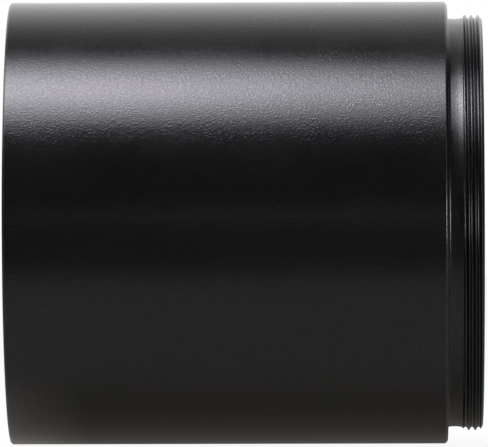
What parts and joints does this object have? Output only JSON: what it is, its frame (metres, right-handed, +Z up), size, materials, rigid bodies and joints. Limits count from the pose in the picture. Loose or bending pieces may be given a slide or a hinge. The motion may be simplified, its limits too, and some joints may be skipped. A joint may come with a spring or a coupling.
{
  "type": "telescope extension tube",
  "caption": "Plain black spacer tube for telescope and camera gear, with a fine female thread at the rear, a male thread at the front and a baffle stack inside.",
  "frame": {"origin": "centre of the rear rim, on the tube's axis", "axes": "+X along the tube's axis towards the male thread, +Z up as the tube lies in the picture"},
  "size_m": [0.0542, 0.0508, 0.0508],
  "materials": {
    "blasted_black": "bead-blasted, black anodised",
    "turned_black": "turned, black anodised",
    "matt_black": "matt black anodised"
  },
  "bodies": {
    "tube": {"barrel": "blasted_black", "front_spacer": "matt_black", "middle_baffle": "matt_black", "rear_spacer": "matt_black"},
    "front_stop": {"front_baffle": "matt_black"},
    "nose": {"nose_ring": "turned_black"},
    "rear_stop": {"rear_baffle": "matt_black"},
    "clamp": {"retaining_ring": "turned_black"}
  },
  "joints": [
    {"name": "nose_ring_advance", "type": "slide", "parent": "tube", "child": "front_stop", "axis": [1, 0, 0], "range_m": [0, 0.00375]},
    {"name": "nose_ring_turn", "type": "hinge", "parent": "front_stop", "child": "nose", "pos_m": [0.0502, 0, 0], "axis": [1, 0, 0], "range_deg": [0, 1800]},
    {"name": "retaining_ring_advance", "type": "slide", "parent": "tube", "child": "rear_stop", "axis": [-1, 0, 0], "range_m": [0, 0.0045]},
    {"name": "retaining_ring_turn", "type": "hinge", "parent": "rear_stop", "child": "clamp", "pos_m": [0.0075, 0, 0], "axis": [-1, 0, 0], "range_deg": [0, 2160]}
  ],
  "couplings": [
    {"joint": "nose_ring_advance", "follows": "nose_ring_turn", "m_per_rad": 0.00011937},
    {"joint": "retaining_ring_advance", "follows": "retaining_ring_turn", "m_per_rad": 0.00011937}
  ]
}
